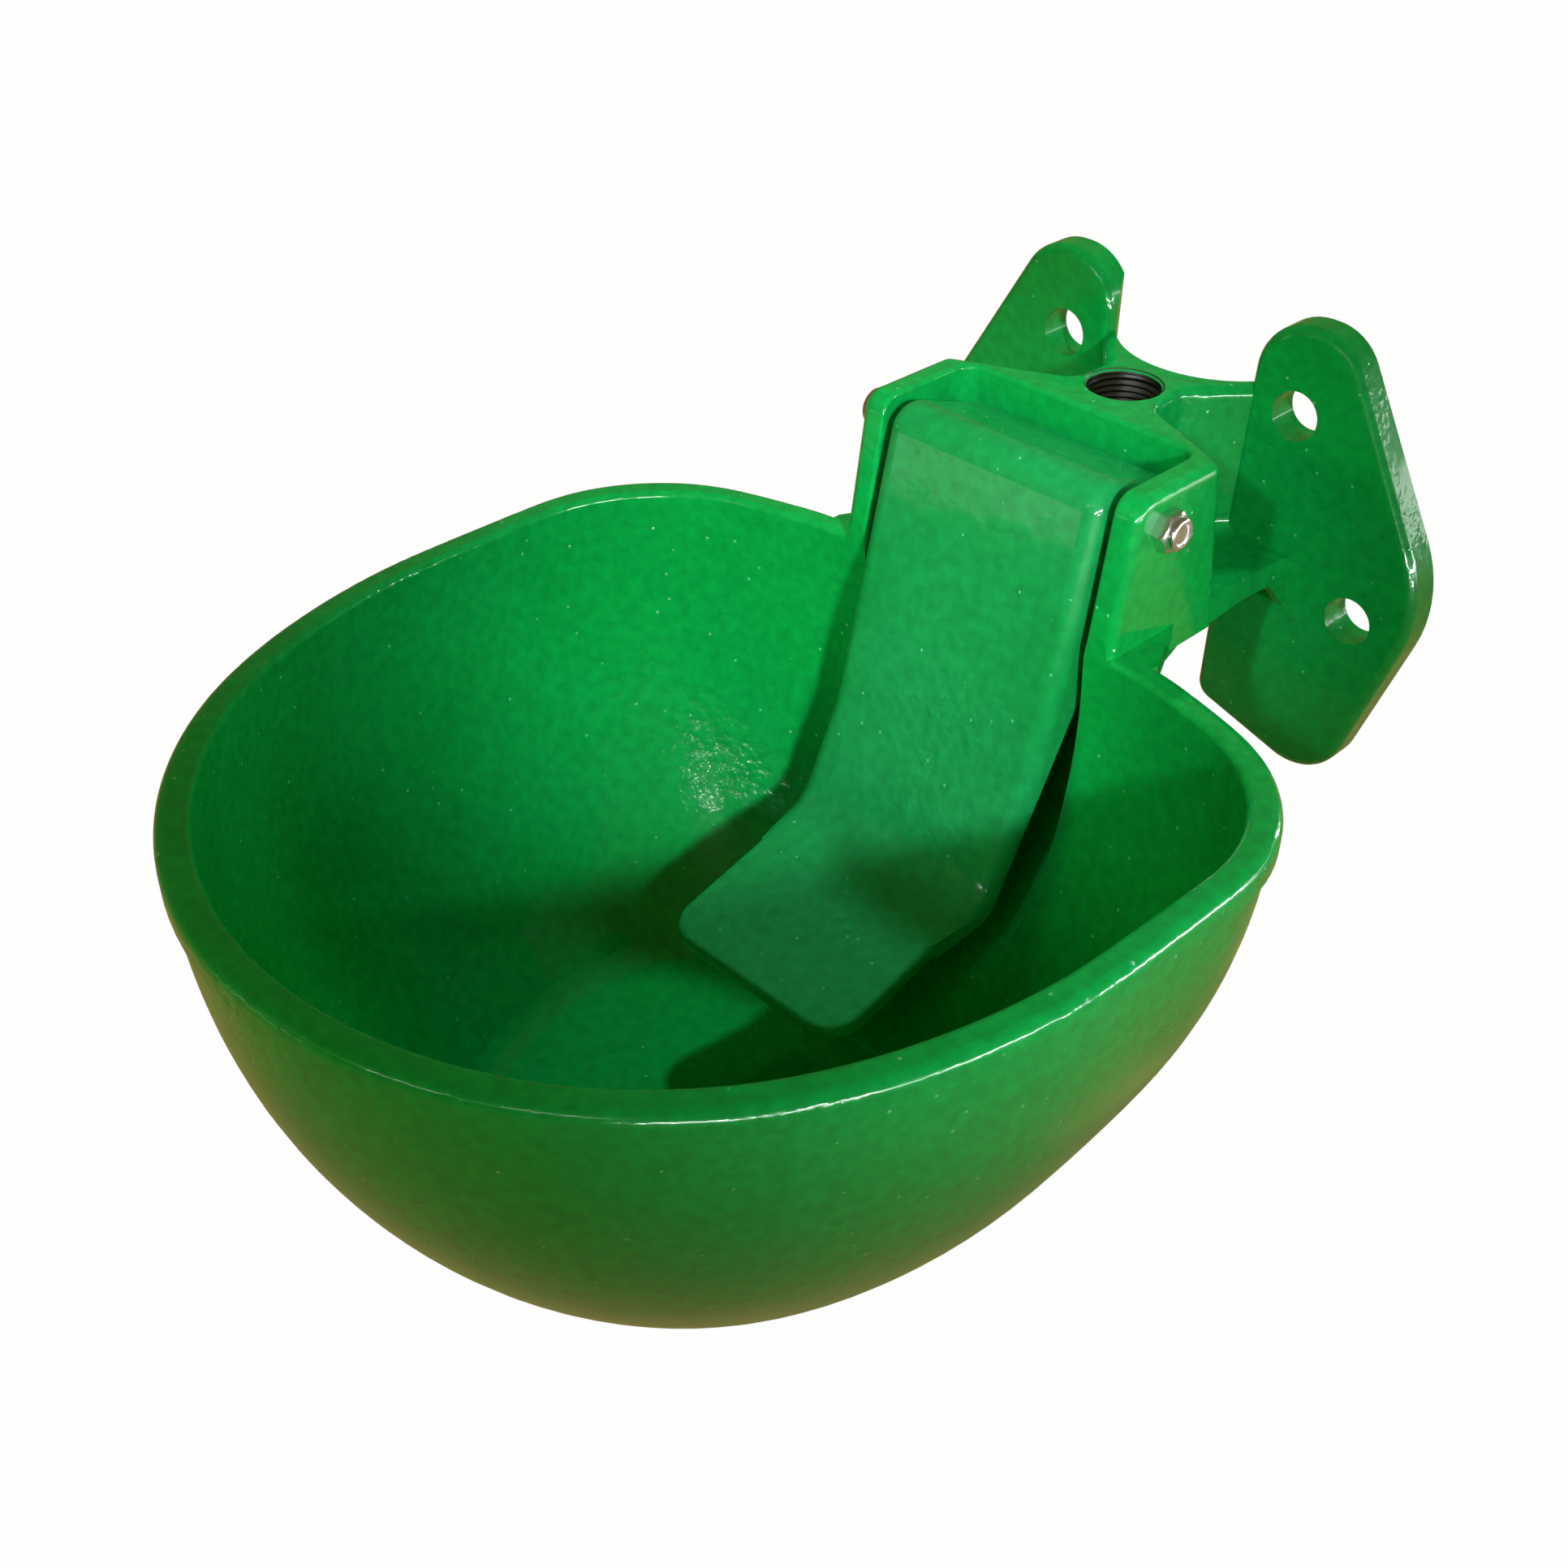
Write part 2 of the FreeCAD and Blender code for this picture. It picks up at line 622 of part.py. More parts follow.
def tongue():
    half = tongue_width / 2
    nose = (tongue_nose_y, tongue_nose_z, tongue_nose_radius)
    knee = (tongue_knee_y, tongue_knee_z, tongue_knee_radius)
    bend = (tongue_bend_y, tongue_bend_z, tongue_bend_radius)
    foot = (tongue_foot_y, tongue_foot_z, 0)
    toe = V(foot[0] - bend[0], foot[1] - bend[1], 0).normalize() * (tongue_bend_radius + 2)
    toe_start = (bend[0] + toe.x, bend[1] + toe.y, 0)
    toe_back = set_back(toe_start, foot, tongue_foot_plate)
    bend_back = set_back(bend, foot, tongue_foot_plate)
    flange = [(tongue_rear_top_y, tongue_rear_top_z, 0), nose, knee, bend, toe_start,
              (toe_back[0], toe_back[1], 0),
              (bend_back[0], bend_back[1], tongue_bend_radius - tongue_foot_plate),
              (tongue_flange_low_y, tongue_flange_low_z, tongue_flange_low_radius),
              (tongue_flange_mid_y, tongue_flange_mid_z, tongue_flange_mid_radius),
              (hinge_y + tongue_lug_radius, hinge_z - tongue_lug_radius, tongue_lug_radius),
              (tongue_rear_top_y, tongue_rear_top_z - tongue_plate, 0)]
    body = prism(flange, "yz", -half, half)
    shoulder = edges_where(body, lambda e, b: abs(abs(b.XMax) - half) < 0.01 and b.XMax - b.XMin < 0.01
                           and nearer(e, flange[:5], flange[4:] + flange[:1]))
    body = body.makeFillet(tongue_shoulder_round, shoulder)

    # Hollow behind the plate, open at the back
    hollow = [(tongue_rear_top_y + 10, tongue_rear_top_z - tongue_plate - 3, 0),
              (nose[0] + tongue_plate, nose[1] - tongue_plate, tongue_nose_radius / 2),
              (knee[0] + tongue_plate, knee[1], tongue_knee_radius),
              (bend[0] + tongue_plate, bend[1] + tongue_plate, tongue_bend_radius / 2),
              (tongue_rear_top_y + 10, bend[1] + tongue_plate, 0)]
    body = body.cut(prism(hollow, "yz", -half + tongue_side, half - tongue_side))

    # The sides draw in to the narrower foot
    trim = tongue_foot_width / 2
    sides = [(half + 1, toe_start[0] - 9, 0), (half + 1, bend[0] + 3, 0), (half, bend[0] + 3, 0),
             (trim, toe_start[0] + 1, tongue_waist_radius), (trim, toe_start[0] - 9, 0)]
    for side in (1, -1):
        body = body.cut(prism([(side * x, y, r) for x, y, r in sides], "xy", foot[1] - 10, bend[1] + 14))
    body = body.fuse(tongue_foot(bend, foot))

    # Contact pad for the valve stem and the hinge bore
    fall = (nose[1] - valve_z) / (nose[1] - knee[1])
    face_y = nose[0] + (knee[0] - nose[0]) * fall
    pad = rod_y(pad_radius, face_y + tongue_plate / 2, tip_y() - tip_gap, 0, valve_z)
    bore = rod_x(hinge_bolt_radius + hinge_clearance, -half - 1, half + 1, hinge_y, hinge_z)
    return body.fuse(pad).cut(bore)


# Hinge bolt and its nut
def hinge_bolt():
    seat = -housing_width / 2 - washer_thickness
    end = housing_width / 2 + nut_height - bolt_end_recess
    shank = rod_x(hinge_bolt_radius, seat - past, end, hinge_y, hinge_z)
    shank = shank.makeChamfer(bolt_end_chamfer, edges_where(shank, lambda e, b: b.XMin > end - 0.1))
    head = hexagon(bolt_head_width, "x", seat - bolt_head_height, bolt_head_height, (hinge_y, hinge_z))
    bevel = Part.makeCone(bolt_head_width / 2 - head_bevel, bolt_head_width / 2 + bolt_head_height,
                          bolt_head_height, V(seat - bolt_head_height, hinge_y, hinge_z), V(1, 0, 0))
    return shank.fuse(head.common(bevel))


def hinge_bolt_washer():
    seat = -housing_width / 2
    disc = rod_x(washer_radius, seat - washer_thickness, seat, hinge_y, hinge_z)
    return disc.cut(rod_x(hinge_bolt_radius + 2 * hinge_clearance, seat - washer_thickness - past,
                          seat + past, hinge_y, hinge_z))


def hinge_lock_nut():
    seat = housing_width / 2
    end = seat + nut_height
    hexagonal = hexagon(nut_width, "x", seat, nut_hex_height, (hinge_y, hinge_z))
    bevel = Part.makeCone(nut_width / 2 + nut_hex_height, nut_width / 2 - head_bevel, nut_hex_height,
                          V(seat, hinge_y, hinge_z), V(1, 0, 0))
    collar = rod_x(nut_collar_radius, seat, end, hinge_y, hinge_z)
    collar = collar.makeFillet(nut_collar_round, edges_where(collar, lambda e, b: b.XMin > end - 0.1))
    bore = rod_x(hinge_bolt_radius + part_fit, seat - past, end + past, hinge_y, hinge_z)
    room = rod_x(insert_radius, end - insert_height - insert_cover, end - insert_cover, hinge_y, hinge_z)
    return hexagonal.common(bevel).fuse(collar).cut(bore).cut(room)


def lock_nut_insert():
    start = housing_width / 2 + nut_height - insert_height - insert_cover
    end = start + insert_height
    ring = rod_x(insert_radius, start, end, hinge_y, hinge_z)
    return ring.cut(rod_x(hinge_bolt_radius + part_fit / 2, start - past, end + past, hinge_y, hinge_z))


# Valve
def valve_face_y():
    return pocket_back_y + spot_face_depth


def hex_front_y():
    return valve_face_y() - gasket_thickness - valve_hex_length


def thread_end_y():
    return valve_face_y() - gasket_thickness + valve_thread_length


def cage_back_y():
    return thread_end_y() + cage_length


def seat_y():
    return thread_end_y() - seat_set_back


def tip_y():
    return hex_front_y() - nozzle_length - stem_reach


def valve_body():
    front = hex_front_y()
    nozzle_front = front - nozzle_length
    flange = hexagon(valve_hex_width, "y", front, valve_hex_length, (0, valve_z))
    bevel = Part.makeCone(valve_hex_width / 2 - head_bevel, valve_hex_width / 2 + valve_hex_length,
                          valve_hex_length, V(0, front, valve_z), V(0, 1, 0))
    nozzle = rod_y(nozzle_radius, nozzle_front, front + past, 0, valve_z)
    nozzle = nozzle.makeFillet(nozzle_round, edges_where(nozzle, lambda e, b: b.YMax < nozzle_front + 0.1))
    thread = rod_y(thread_radius, front + past, thread_end_y(), 0, valve_z)
    cage = rod_y(cage_radius, thread_end_y() - past, cage_back_y(), 0, valve_z)
    body = flange.common(bevel).fuse([nozzle, thread, cage])
    chamber = rod_y(cage_bore, seat_y() - seat_lip_height, cage_back_y() + past, 0, valve_z)
    lip = rod_y(seat_lip_radius, seat_y() - seat_lip_height - past / 2, seat_y(), 0, valve_z)
    orifice = rod_y(orifice_radius, nozzle_front - past, seat_y() + past, 0, valve_z)
    body = body.cut(chamber).fuse(lip).cut(orifice)
    window_y = seat_y() + seal_thickness + stem_head_thickness + cage_window_radius + cage_window_set_back
    cross = rod_x(cage_window_radius, -thread_radius, thread_radius, window_y, valve_z)
    upright = rod_z(cage_window_radius, valve_z - thread_radius, valve_z + thread_radius, 0, window_y)
    return body.cut(cross).cut(upright)


def valve_gasket():
    front = valve_face_y() - gasket_thickness
    ring = rod_y(gasket_radius, front, valve_face_y(), 0, valve_z)
    return ring.cut(rod_y(thread_radius + part_fit, front - past, valve_face_y() + past, 0, valve_z))


def valve_stem():
    guide_radius = orifice_radius - stem_clearance
    seal_back = seat_y() + seal_thickness
    head_back = seal_back + stem_head_thickness
    guide = rod_y(guide_radius, tip_y(), seat_y() - 1.5 * past, 0, valve_z)
    ball = Part.makeSphere(stem_tip_radius, V(0, tip_y() + stem_tip_radius, valve_z))
    guide = guide.common(ball.fuse(rod_y(orifice_radius, tip_y() + stem_tip_radius, seat_y(), 0, valve_z)))
    for i in range(4):
        turn = pi / 4 + i * pi / 2
        flute = rod_y(stem_flute_radius, tip_y() + stem_tip_length, seat_y(), guide_radius * cos(turn),
                      valve_z + guide_radius * sin(turn))
        guide = guide.cut(flute)
    neck = rod_y(stem_neck_radius, seat_y() - 2 * past, seal_back + past / 2, 0, valve_z)
    head = rod_y(stem_head_radius, seal_back, head_back, 0, valve_z)
    tail = rod_y(stem_tail_radius, head_back - past / 2, head_back + stem_tail_length, 0, valve_z)
    return guide.fuse([neck, head, tail])


def valve_seal():
    back = seat_y() + seal_thickness
    disc = rod_y(seal_radius, seat_y(), back, 0, valve_z)
    return disc.cut(rod_y(stem_neck_radius + part_fit / 2, seat_y() - past, back + past, 0, valve_z))


def valve_spring():
    start = seat_y() + seal_thickness + stem_head_thickness + spring_wire_radius
    end = cage_back_y() - retainer_thickness - spring_wire_radius
    helix = Part.makeHelix((end - start) / spring_turns, end - start, spring_mean_radius)
    section = Part.Wire([Part.Circle(V(spring_mean_radius, 0, 0), V(0, 1, 0), spring_wire_radius).toShape()])
    wire = Part.Wire(helix).makePipeShell([section], True, True)
    wire.rotate(V(0, 0, 0), V(1, 0, 0), -90)
    wire.translate(V(0, start, valve_z))
    return wire


def spring_retainer():
    back = cage_back_y()
    disc = rod_y(cage_bore - part_fit, back - retainer_thickness, back, 0, valve_z)
    slot = Part.makeBox(2 * cage_bore, retainer_slot_depth, retainer_slot_width,
                        V(-cage_bore, back - retainer_slot_depth, valve_z - retainer_slot_width / 2))
    hole = rod_y(retainer_hole, back - retainer_thickness - past, back + past, 0, valve_z)
    return disc.cut(hole).cut(slot)


# Inlet strainer and outlet plug
def strainer_ledge_z():
    # The strainer lies in the wider room below the thread, clear of the pipe's end
    return housing_top_z - inlet_thread_depth - strainer_room_depth


def strainer_ring():
    outer = thread_radius - 3 * part_fit
    top = strainer_ledge_z() + strainer_ring_height
    ring = rod_z(outer, strainer_ledge_z(), top, 0, inlet_y)
    hole = rod_z(outer - strainer_ring_width, strainer_ledge_z() - past, top + past, 0, inlet_y)
    middle_z = strainer_ledge_z() + strainer_ring_height / 2
    groove = rod_z(outer - strainer_ring_width / 2, middle_z - gauze_thickness / 2,
                   middle_z + gauze_thickness / 2, 0, inlet_y)
    return ring.cut(hole).cut(groove)


def strainer_gauze():
    radius = thread_radius - 3 * part_fit - strainer_ring_width / 2
    open_radius = radius - strainer_ring_width / 2 - gauze_hole_radius
    middle_z = strainer_ledge_z() + strainer_ring_height / 2
    disc = rod_z(radius, middle_z - gauze_thickness / 2, middle_z + gauze_thickness / 2, 0, inlet_y)
    steps = range(-3, 4)
    places = [(i * gauze_pitch, j * gauze_pitch) for i in steps for j in steps]
    holes = [rod_z(gauze_hole_radius, middle_z - 1, middle_z + 1, x, inlet_y + y)
             for x, y in places if x * x + y * y < open_radius * open_radius]
    return disc.cut(holes)


def outlet_plug():
    collar_top = boss_bottom_z - plug_seal_thickness
    collar_bottom = collar_top - plug_collar_height
    shank_top = boss_bottom_z + plug_shank
    collar = rod_z(plug_collar_radius, collar_bottom, collar_top, 0, inlet_y)
    lower_edge = edges_where(collar, lambda e, b: b.ZMax < collar_bottom + 0.1)
    collar = collar.makeFillet(plug_collar_round, lower_edge)
    shank = rod_z(thread_radius - part_fit, collar_top - past, shank_top, 0, inlet_y)
    shank = shank.makeChamfer(plug_chamfer, edges_where(shank, lambda e, b: b.ZMin > shank_top - 0.1))
    socket = hexagon(plug_socket_width, "z", collar_bottom - past, plug_socket_depth + past, (0, inlet_y))
    return collar.fuse(shank).cut(socket)


def outlet_plug_seal():
    bottom = boss_bottom_z - plug_seal_thickness
    ring = rod_z(plug_collar_radius - plug_seal_inset, bottom, boss_bottom_z, 0, inlet_y)
    return ring.cut(rod_z(thread_radius + part_fit / 2, bottom - past, boss_bottom_z + past, 0, inlet_y))


rim_shape = rim_radii(40)

if __name__ == "__main__":
    os.makedirs("parts", exist_ok=True)
    for make in (bowl_casting, tongue, hinge_bolt, hinge_bolt_washer, hinge_lock_nut, lock_nut_insert,
                 valve_body, valve_gasket, valve_stem, valve_seal, valve_spring, spring_retainer,
                 strainer_ring, strainer_gauze, outlet_plug, outlet_plug_seal):
        save(make.__name__, make())
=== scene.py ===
import bpy
from math import cos, pi, radians, sin
from mathutils import Euler, Matrix, Vector


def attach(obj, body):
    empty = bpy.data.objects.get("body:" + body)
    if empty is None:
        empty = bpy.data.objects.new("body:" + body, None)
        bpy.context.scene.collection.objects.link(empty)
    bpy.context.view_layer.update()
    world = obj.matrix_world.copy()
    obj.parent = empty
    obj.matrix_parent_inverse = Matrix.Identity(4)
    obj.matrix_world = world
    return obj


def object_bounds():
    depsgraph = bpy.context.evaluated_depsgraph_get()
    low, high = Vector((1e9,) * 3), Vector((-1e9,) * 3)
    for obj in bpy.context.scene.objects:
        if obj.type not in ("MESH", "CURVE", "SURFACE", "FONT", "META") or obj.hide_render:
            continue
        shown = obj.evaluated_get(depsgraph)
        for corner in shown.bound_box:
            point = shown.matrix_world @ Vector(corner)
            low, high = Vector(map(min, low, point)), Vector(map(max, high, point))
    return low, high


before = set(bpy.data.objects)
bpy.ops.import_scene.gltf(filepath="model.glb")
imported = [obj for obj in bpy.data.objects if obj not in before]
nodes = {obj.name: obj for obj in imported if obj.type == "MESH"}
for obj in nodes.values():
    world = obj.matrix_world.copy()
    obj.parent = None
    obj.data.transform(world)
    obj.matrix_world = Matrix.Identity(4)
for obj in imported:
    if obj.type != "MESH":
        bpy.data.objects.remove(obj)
cad_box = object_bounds()


# Bowl casting: bowl, wall plate and housing poured in one piece of grey iron in a sand mould, then
# dipped and fired in glossy green enamel, which leaves a faint orange peel and thins on sharp edges.
def from_screen(red, green, blue):
    # Linear colour from the values that a screen shows, 0 to 255
    channels = []
    for value in (red, green, blue):
        share = value / 255
        channels.append(share / 12.92 if share <= 0.04045 else ((share + 0.055) / 1.055) ** 2.4)
    return (*channels, 1)


# Pale green of the painted glints: dots painted into the enamel's colour at the grains, standing in for
# tiny highlights
painted_glint_colour = from_screen(110, 214, 155)
# Cells per metre of the enamel's patterns
drift_scale = 14
sand_skin_scale = 300
patch_scale = 16
peel_scale = 75
grain_scale = 150
peel_depth = 0.0001
# The sandy skin is strongest left of this line, inside the bowl's left wall
rough_side_x = -0.1
smooth_side_x = -0.06


def enamel(name, thin, thick, roughness, skin_depth, speck_height):
    # Fired enamel over cast iron: colour drifts with the coat's thickness, orange peel, the sand's wormy
    # skin in patches and stray grains show in relief.
    # The skin's pattern also lightens and darkens the colour as painted shade, and pale dots at the
    # grains are painted glints.
    coat = bpy.data.materials.new(name)
    coat.use_nodes = True
    tree = coat.node_tree
    shader = tree.nodes["Principled BSDF"]
    place = tree.nodes.new("ShaderNodeTexCoord")

    def noise(scale, detail):
        field = tree.nodes.new("ShaderNodeTexNoise")
        field.inputs["Scale"].default_value = scale
        field.inputs["Detail"].default_value = detail
        tree.links.new(place.outputs["Object"], field.inputs["Vector"])
        return field.outputs["Fac"]

    def spread(value, low, high, at_low, at_high):
        span = tree.nodes.new("ShaderNodeMapRange")
        span.inputs["From Min"].default_value = low
        span.inputs["From Max"].default_value = high
        span.inputs["To Min"].default_value = at_low
        span.inputs["To Max"].default_value = at_high
        tree.links.new(value, span.inputs["Value"])
        return span.outputs["Result"]

    def relief(height, depth, under=None):
        bump = tree.nodes.new("ShaderNodeBump")
        bump.inputs["Strength"].default_value = 1
        bump.inputs["Distance"].default_value = depth
        tree.links.new(height, bump.inputs["Height"])
        if under:
            tree.links.new(under, bump.inputs["Normal"])
        return bump.outputs["Normal"]

    drift = noise(drift_scale, 3)
    tint = tree.nodes.new("ShaderNodeValToRGB")
    tint.color_ramp.elements[0].position = 0.36
    tint.color_ramp.elements[0].color = thick
    tint.color_ramp.elements[1].position = 0.66
    tint.color_ramp.elements[1].color = thin
    tree.links.new(drift, tint.inputs["Fac"])
    tree.links.new(spread(drift, 0.3, 0.7, 0.8 * roughness, 1.3 * roughness), shader.inputs["Roughness"])

    sand_skin = tree.nodes.new("ShaderNodeMath")
    sand_skin.operation = "MULTIPLY"
    worms = noise(sand_skin_scale, 2)
    tree.links.new(worms, sand_skin.inputs[0])
    sides = tree.nodes.new("ShaderNodeSeparateXYZ")
    tree.links.new(place.outputs["Object"], sides.inputs[0])
    patches = tree.nodes.new("ShaderNodeMath")
    patches.operation = "ADD"
    tree.links.new(noise(patch_scale, 1), patches.inputs[0])
    tree.links.new(spread(sides.outputs["X"], rough_side_x, smooth_side_x, 0.08, -0.06),
                   patches.inputs[1])
    tree.links.new(spread(patches.outputs["Value"], 0.44, 0.62, 0.02, 1), sand_skin.inputs[1])

    cells = tree.nodes.new("ShaderNodeTexVoronoi")
    cells.inputs["Scale"].default_value = grain_scale
    tree.links.new(place.outputs["Object"], cells.inputs["Vector"])
    grain = spread(cells.outputs["Distance"], 0, 0.1, 1, 0)
    # Painted shade of the sand skin: the worm pattern makes the colour up to 12% lighter where it rises
    # and darker where it sinks, all over the part
    shade = tree.nodes.new("ShaderNodeHueSaturation")
    tree.links.new(tint.outputs["Color"], shade.inputs["Color"])
    tree.links.new(spread(worms, 0.3, 0.7, 0.88, 1.12), shade.inputs["Value"])
    # Painted glints: the colour turns pale green towards each grain cell's centre
    painted_glint_dots = tree.nodes.new("ShaderNodeMix")
    painted_glint_dots.data_type = "RGBA"
    painted_glint_dots.inputs["B"].default_value = painted_glint_colour
    tree.links.new(spread(cells.outputs["Distance"], 0.03, 0.09, 0.8, 0), painted_glint_dots.inputs["Factor"])
    tree.links.new(shade.outputs["Color"], painted_glint_dots.inputs["A"])
    tree.links.new(painted_glint_dots.outputs["Result"], shader.inputs["Base Color"])

    peel = relief(noise(peel_scale, 1), peel_depth)
    wormy = relief(sand_skin.outputs["Value"], skin_depth, peel)
    surface = relief(grain, speck_height, wormy)
    tree.links.new(surface, shader.inputs["Normal"])
    tree.links.new(surface, shader.inputs["Coat Normal"])
    shader.inputs["IOR"].default_value = 1.4
    shader.inputs["Specular IOR Level"].default_value = 0.2
    shader.inputs["Coat Weight"].default_value = 0.5
    shader.inputs["Coat IOR"].default_value = 1.4
    shader.inputs["Coat Roughness"].default_value = 0.06
    shader.inputs["Specular Tint"].default_value = (0.55, 1, 0.7, 1)
    return coat


def finish_node(name, material):
    for place in nodes[name].material_slots:
        place.material = material


casting_enamel = enamel("green_enamel_on_casting", from_screen(13, 163, 72), from_screen(9, 154, 60),
                        0.2, 0.0005, 0.00025)
finish_node("bowl_casting", casting_enamel)


# Tongue: a separate iron casting in the same enamel, a little paler and more satin, with the coarser
# dimples that its sand core leaves on the face.
tongue_enamel = enamel("green_enamel_on_tongue", from_screen(30, 152, 80), from_screen(21, 142, 64),
                       0.34, 0.0008, 0.0003)
finish_node("tongue", tongue_enamel)


# Hinge bolt, washer and self-locking nut: bright zinc plate over turned and cold-formed steel, with a
# natural nylon locking ring pressed into the nut.
streaks_per_metre = 500


def bright_metal(name, colour, roughness, streak):
    # Plated or cut metal: its tint, its polish and its fine streaks change together
    metal = bpy.data.materials.new(name)
    metal.use_nodes = True
    tree = metal.node_tree
    shader = tree.nodes["Principled BSDF"]
    shader.inputs["Metallic"].default_value = 1
    place = tree.nodes.new("ShaderNodeTexCoord")
    cloud = tree.nodes.new("ShaderNodeTexNoise")
    cloud.inputs["Scale"].default_value = streaks_per_metre
    cloud.inputs["Detail"].default_value = 3
    tree.links.new(place.outputs["Object"], cloud.inputs["Vector"])
    tint = tree.nodes.new("ShaderNodeValToRGB")
    tint.color_ramp.elements[0].color = (*[0.75 * c for c in colour[:3]], 1)
    tint.color_ramp.elements[1].color = colour
    tree.links.new(cloud.outputs["Fac"], tint.inputs["Fac"])
    tree.links.new(tint.outputs["Color"], shader.inputs["Base Color"])
    spread = tree.nodes.new("ShaderNodeMapRange")
    spread.inputs["To Min"].default_value = roughness * 0.7
    spread.inputs["To Max"].default_value = roughness * 1.4
    tree.links.new(cloud.outputs["Fac"], spread.inputs["Value"])
    tree.links.new(spread.outputs["Result"], shader.inputs["Roughness"])
    relief = tree.nodes.new("ShaderNodeBump")
    relief.inputs["Distance"].default_value = streak
    tree.links.new(cloud.outputs["Fac"], relief.inputs["Height"])
    tree.links.new(relief.outputs["Normal"], shader.inputs["Normal"])
    return metal


zinc_plate = bright_metal("bright_zinc_plate", from_screen(225, 226, 228), 0.22, 0.00003)
for part in ("hinge_bolt", "hinge_bolt_washer", "hinge_lock_nut"):
    finish_node(part, zinc_plate)


def moulded(name, colour, roughness, grain):
    # Pressed or moulded soft part, with a fine grain
    stuff = bpy.data.materials.new(name)
    stuff.use_nodes = True
    tree = stuff.node_tree
    shader = tree.nodes["Principled BSDF"]
    shader.inputs["Roughness"].default_value = roughness
    place = tree.nodes.new("ShaderNodeTexCoord")
    speck = tree.nodes.new("ShaderNodeTexNoise")
    speck.inputs["Scale"].default_value = 1 / grain
    tree.links.new(place.outputs["Object"], speck.inputs["Vector"])
    tint = tree.nodes.new("ShaderNodeValToRGB")
    tint.color_ramp.elements[0].color = (*[0.8 * c for c in colour[:3]], 1)
    tint.color_ramp.elements[1].color = colour
    tree.links.new(speck.outputs["Fac"], tint.inputs["Fac"])
    tree.links.new(tint.outputs["Color"], shader.inputs["Base Color"])
    relief = tree.nodes.new("ShaderNodeBump")
    relief.inputs["Distance"].default_value = grain / 20
    tree.links.new(speck.outputs["Fac"], relief.inputs["Height"])
    tree.links.new(relief.outputs["Normal"], shader.inputs["Normal"])
    return stuff


finish_node("lock_nut_insert", moulded("natural_nylon", from_screen(225, 224, 214), 0.4, 0.0006))


# Valve cartridge: body, stem and spring retainer turned from brass bar, with a stainless spring, a
# rubber seal disc and a red fibre gasket under the hexagon.
valve_brass = bright_metal("turned_brass", from_screen(214, 180, 104), 0.26, 0.00003)
for part in ("valve_body", "valve_stem", "spring_retainer"):
    finish_node(part, valve_brass)
spring_wire = bright_metal("stainless_wire", from_screen(205, 206, 208), 0.3, 0.00002)
finish_node("valve_spring", spring_wire)
finish_node("valve_seal", moulded("black_seal_rubber", from_screen(30, 30, 31), 0.6, 0.0005))
red_fibre = moulded("red_vulcanised_fibre", from_screen(140, 52, 40), 0.65, 0.0008)
finish_node("valve_gasket", red_fibre)


# Inlet strainer: a moulded nylon ring that lies loose on the ledge below the inlet's thread, with a
# drilled stainless disc snapped into its groove to hold back grit.
finish_node("strainer_ring", moulded("strainer_nylon", from_screen(214, 214, 206), 0.45, 0.0006))
finish_node("strainer_gauze", bright_metal("strainer_steel", from_screen(188, 190, 192), 0.35, 0.00003))


# Outlet plug: a zinc-plated steel socket plug, screwed into the lower outlet against a red fibre ring
# when the water comes from above.
finish_node("outlet_plug", zinc_plate)
finish_node("outlet_plug_seal", red_fibre)


# Inlet thread: a half-inch pipe thread tapped into the fired casting, so its turns are bare grey iron.
# They lie inside the bore, whose wall is their root.
inlet_y = -0.0337
thread_top = 0.0031
thread_bottom = -0.0093
thread_pitch = 0.001814
root_radius = 0.01027
crest_radius = 0.00938
steps_per_turn = 72
fade_in = 0.6 * steps_per_turn
# Share of the pitch, and radius there
thread_profile = ((0.0, root_radius), (0.18, root_radius), (0.44, crest_radius), (0.6, crest_radius),
                  (0.86, root_radius))


def tapped_turns():
    # One ridge that winds down the bore, fading in at the mouth
    rings = []
    turns = (thread_top - thread_bottom) / thread_pitch - 1
    count = int(turns * steps_per_turn)
    for step in range(count + 1):
        angle = 2 * pi * step / steps_per_turn
        drop = thread_pitch * step / steps_per_turn
        grown = min(step / fade_in, (count - step) / fade_in, 1)
        ring = []
        for share, radius in thread_profile + ((1.0, root_radius),):
            reach = root_radius + (radius - root_radius) * grown
            ring.append((reach * cos(angle), inlet_y + reach * sin(angle),
                         thread_top - drop - share * thread_pitch))
        rings.append(ring)
    return rings


def cut_surface(name, rings):
    # Skin over rings of points, bare iron, fixed to the casting
    points = [point for ring in rings for point in ring]
    width = len(rings[0])
    faces = [(row * width + i, row * width + i + 1, (row + 1) * width + i + 1, (row + 1) * width + i)
             for row in range(len(rings) - 1) for i in range(width - 1)]
    mesh = bpy.data.meshes.new(name)
    mesh.from_pydata(points, [], faces)
    mesh.shade_smooth()
    piece = bpy.data.objects.new(name, mesh)
    bpy.context.scene.collection.objects.link(piece)
    mesh.materials.append(cut_iron)
    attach(piece, "base")


cut_iron = bright_metal("freshly_cut_iron", from_screen(112, 115, 118), 0.36, 0.00004)
cut_surface("inlet_thread_turns", tapped_turns())


# Mouth chamfer: the cone that a countersink leaves at the thread's mouth, with the plain bore above
# the first full turn. It is bare grey iron like the thread.
mouth_top = 0.0039
mouth_radius = 0.01095
mouth_outline = ((mouth_radius, mouth_top), (root_radius, thread_top),
                 (root_radius, thread_top - thread_pitch))
mouth_rings = []
for step in range(steps_per_turn + 1):
    angle = 2 * pi * step / steps_per_turn
    mouth_rings.append([(radius * cos(angle), inlet_y + radius * sin(angle), level)
                        for radius, level in mouth_outline])
cut_surface("inlet_mouth_chamfer", mouth_rings)


